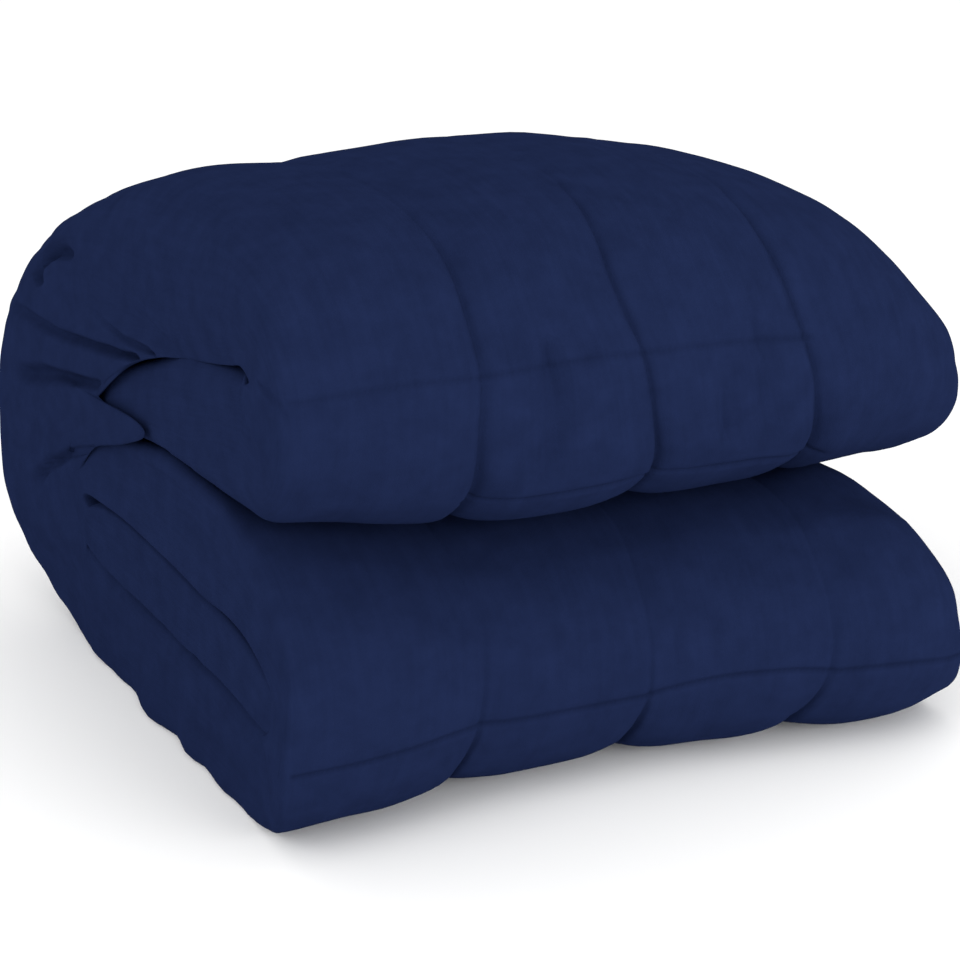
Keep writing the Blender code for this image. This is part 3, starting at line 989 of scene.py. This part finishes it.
def brushed_navy_microfibre(colour):
    """Brushed polyester microfibre: a short matt pile over a soft knit, in navy."""
    material = bpy.data.materials.new("brushed navy microfibre")
    material.use_nodes = True
    tree = material.node_tree
    shader = tree.nodes["Principled BSDF"]
    place = add_node(tree, "TexCoord", {}, {}).outputs["Object"]
    # Metres across the cloth, metres along it, and 1 on a line of stitches, which the thread and the painted
    # shade of its groove darken.
    cloth = add_node(tree, "Attribute", {"attribute_name": "cloth_place"}, {}).outputs["Vector"]
    # Patches some 20 mm wide where the pile has been brushed this way or that: the eye reads a nap.
    settings = {"Scale": 48.0, "Detail": 5.0, "Roughness": 0.62}
    patches = add_node(tree, "TexNoise", settings, {"Vector": place})
    # Faint streaks 5 mm wide and 60 mm long, run by the knit along the fold: they show which way the cloth
    # goes. Real ones are under 1 mm wide, and are drawn coarser so that they show at all.
    along = add_node(tree, "Mapping", {"Scale": (200.0, 16.0, 0.0)}, {"Vector": cloth})
    settings = {"Scale": 1.0, "Detail": 3.0, "Roughness": 0.55}
    streaks = add_node(tree, "TexNoise", settings, {"Vector": along.outputs["Vector"]})
    mixing = {2: patches.outputs["Fac"], 3: streaks.outputs["Fac"]}
    tone = add_node(tree, "Mix", {"data_type": "FLOAT", 0: 0.30}, mixing)
    shades = add_node(tree, "ValToRGB", {}, {"Fac": tone.outputs[0]})
    dark, light = shades.color_ramp.elements
    dark.position = 0.34
    light.position = 0.66
    dark.color = [c * 0.88 for c in colour[:3]] + [1.0]
    light.color = [c * 1.12 for c in colour[:3]] + [1.0]
    # Sewing thread, a darker navy in stitches 4 mm long, drawn a little longer than real ones of 3 mm. The
    # darkening is partly painted shade of the seam's groove, as it grows with the groove's depth.
    parts = add_node(tree, "SeparateXYZ", {}, {"Vector": cloth})
    run = add_node(tree, "Math", {"operation": "ADD"}, {0: parts.outputs["X"], 1: parts.outputs["Y"]})
    turn = {"operation": "MULTIPLY", 1: 2 * math.pi / 0.004}
    turns = add_node(tree, "Math", turn, {0: run.outputs[0]})
    wave = add_node(tree, "Math", {"operation": "SINE"}, {0: turns.outputs[0]})
    # From 0.28 of the colour of thread and painted shade between two stitches to 0.44 on one.
    dashes = {"operation": "MULTIPLY_ADD", 1: 0.08, 2: 0.36}
    dash = add_node(tree, "Math", dashes, {0: wave.outputs[0]})
    thread_and_shade_amount = add_node(tree, "Math", {"operation": "MULTIPLY"}, {0: dash.outputs[0], 1: parts.outputs["Z"]})
    # Thread and painted groove shade together: 0.45 of the cloth's colour.
    sewing = {"data_type": "RGBA", 7: [c * 0.45 for c in colour[:3]] + [1.0]}
    thread_and_groove_shade = add_node(tree, "Mix", sewing, {0: thread_and_shade_amount.outputs[0], 6: shades.outputs["Color"]})
    tree.links.new(thread_and_groove_shade.outputs[2], shader.inputs["Base Color"])
    # The pile itself: tufts about 1 mm across that break up the light. Real fibres are far finer.
    nap = add_node(tree, "TexNoise", {"Scale": 900.0, "Detail": 3.0, "Roughness": 0.6}, {"Vector": place})
    height = {"Height": nap.outputs["Fac"]}
    bump = add_node(tree, "Bump", {"Strength": 0.35, "Distance": 0.0006}, height)
    tree.links.new(bump.outputs["Normal"], shader.inputs["Normal"])
    # Matt all over: no gloss at all, and only a breath of blue sheen off the tips of the pile.
    shader.inputs["Roughness"].default_value = 0.95
    shader.inputs["Specular IOR Level"].default_value = 0.0
    shader.inputs["Sheen Weight"].default_value = 0.012
    shader.inputs["Sheen Roughness"].default_value = 0.5
    shader.inputs["Sheen Tint"].default_value = linear("#6F86D6")
    return material


class BlanketSettings(bpy.types.PropertyGroup):
    plumpness: FloatProperty(
        name="Plumpness", description="How full the filling is, against the frame's own loft",
        default=1.0, min=0.8, max=1.03, subtype="FACTOR",
    )
    cloth_colour: FloatVectorProperty(
        name="Cloth colour", description="Colour of the brushed cloth",
        default=linear("#18213E"), size=4, min=0.0, max=1.0, subtype="COLOR",
    )


class StageSettings(bpy.types.PropertyGroup):
    floor_size: FloatProperty(
        name="Floor size", description="Side of the square floor",
        default=12.0, min=2.0, unit="LENGTH",
    )
    floor_colour: FloatVectorProperty(
        name="Floor colour", description="Colour of the plain floor",
        default=linear("#FFFFFF"), size=4, min=0.0, max=1.0, subtype="COLOR",
    )


class OBJECT_OT_weighted_blanket(bpy.types.Operator):
    """Makes the folded, quilted blanket in place of the frame's plain solid"""

    bl_idname = "object.weighted_blanket"
    bl_label = "Weighted blanket"

    def execute(self, context):
        settings = context.scene.blanket
        piece = filled_sheet(settings.plumpness)
        blown_up(piece)
        finer = piece.modifiers.new("finer cloth", "SUBSURF")
        finer.levels = 1
        finer.render_levels = 1
        finer.uv_smooth = "NONE"
        applied(piece)
        refined_end(piece)
        sewn(piece)
        piece.data.shade_smooth()
        piece.data.materials.append(brushed_navy_microfibre(settings.cloth_colour))
        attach(piece, "root")
        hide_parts("blanket")
        return {"FINISHED"}


def aimed_matrix(place, azimuth, elevation):
    """A camera's or lamp's turn and place, looking level with azimuth and down by elevation."""
    a, e = math.radians(azimuth), math.radians(elevation)
    back = Vector((math.sin(a) * math.cos(e), -math.cos(a) * math.cos(e), math.sin(e)))
    right = Vector((math.cos(a), math.sin(a), 0))
    turn = Matrix((right, back.cross(right), back)).transposed()
    return Matrix.Translation(place) @ turn.to_4x4()


def soft_lamp(lamp):
    """Adds a large square lamp that faces the object."""
    light = bpy.data.lights.new(lamp.place, "AREA")
    light.shape = "SQUARE"
    light.size = LAMP_SIZE
    light.energy = lamp.power
    turn = aimed_matrix(Vector(LAMP_AIM), lamp.azimuth, lamp.elevation)
    holder = bpy.data.objects.new(lamp.place, light)
    holder.matrix_world = Matrix.Translation(turn.to_3x3() @ Vector((0, 0, LAMP_DISTANCE))) @ turn
    bpy.context.scene.collection.objects.link(holder)


class OBJECT_OT_blanket_stage(bpy.types.Operator):
    """Makes a pale floor, soft studio light and the camera"""

    bl_idname = "object.blanket_stage"
    bl_label = "Stage"

    def execute(self, context):
        settings = context.scene.blanket_stage
        scene = context.scene
        plane = bmesh.new()
        bmesh.ops.create_grid(plane, x_segments=1, y_segments=1, size=settings.floor_size / 2)
        mesh = bpy.data.meshes.new("floor")
        plane.to_mesh(mesh)
        plane.free()
        floor = linked(mesh, "floor")
        # Plain matt paper without a pattern, so that the eye sees only the soft shadow on it.
        material = bpy.data.materials.new("plain paper")
        material.use_nodes = True
        shader = material.node_tree.nodes["Principled BSDF"]
        shader.inputs["Base Color"].default_value = settings.floor_colour
        shader.inputs["Roughness"].default_value = 0.9
        mesh.materials.append(material)
        world = bpy.data.worlds.new("soft light")
        world.use_nodes = True
        back = world.node_tree.nodes["Background"]
        back.inputs["Color"].default_value = (1.0, 1.0, 1.0, 1.0)
        back.inputs["Strength"].default_value = 1.0
        scene.world = world
        for lamp in LAMPS:
            soft_lamp(lamp)
        lens = bpy.data.cameras.new("camera")
        lens.lens = CAMERA_LENS
        lens.sensor_width = CAMERA_SENSOR
        lens.clip_start = 0.01
        camera = bpy.data.objects.new("camera", lens)
        camera.matrix_world = aimed_matrix(Vector(CAMERA_PLACE), CAMERA_AZIMUTH, CAMERA_ELEVATION)
        scene.collection.objects.link(camera)
        scene.camera = camera
        scene.view_settings.view_transform = "Standard"
        return {"FINISHED"}


class VIEW3D_PT_blanket(bpy.types.Panel):
    """Lists the pieces and what can be changed on them"""

    bl_label = "Weighted blanket"
    bl_idname = "VIEW3D_PT_blanket"
    bl_space_type = "VIEW_3D"
    bl_region_type = "UI"
    bl_category = "Blanket"

    def draw(self, context):
        column = self.layout.column()
        column.prop(context.scene.blanket, "plumpness")
        column.prop(context.scene.blanket, "cloth_colour")
        column.operator(OBJECT_OT_weighted_blanket.bl_idname)
        column.prop(context.scene.blanket_stage, "floor_size")
        column.prop(context.scene.blanket_stage, "floor_colour")
        column.operator(OBJECT_OT_blanket_stage.bl_idname)


CLASSES = (
    BlanketSettings,
    StageSettings,
    OBJECT_OT_weighted_blanket,
    OBJECT_OT_blanket_stage,
    VIEW3D_PT_blanket,
)


def register():
    for item in CLASSES:
        bpy.utils.register_class(item)
    bpy.types.Scene.blanket = PointerProperty(type=BlanketSettings)
    bpy.types.Scene.blanket_stage = PointerProperty(type=StageSettings)


def unregister():
    del bpy.types.Scene.blanket_stage
    del bpy.types.Scene.blanket
    for item in reversed(CLASSES):
        bpy.utils.unregister_class(item)


def main():
    register()
    bpy.ops.object.blanket_stage()
    bpy.ops.object.weighted_blanket()


if __name__ == "__main__":
    main()
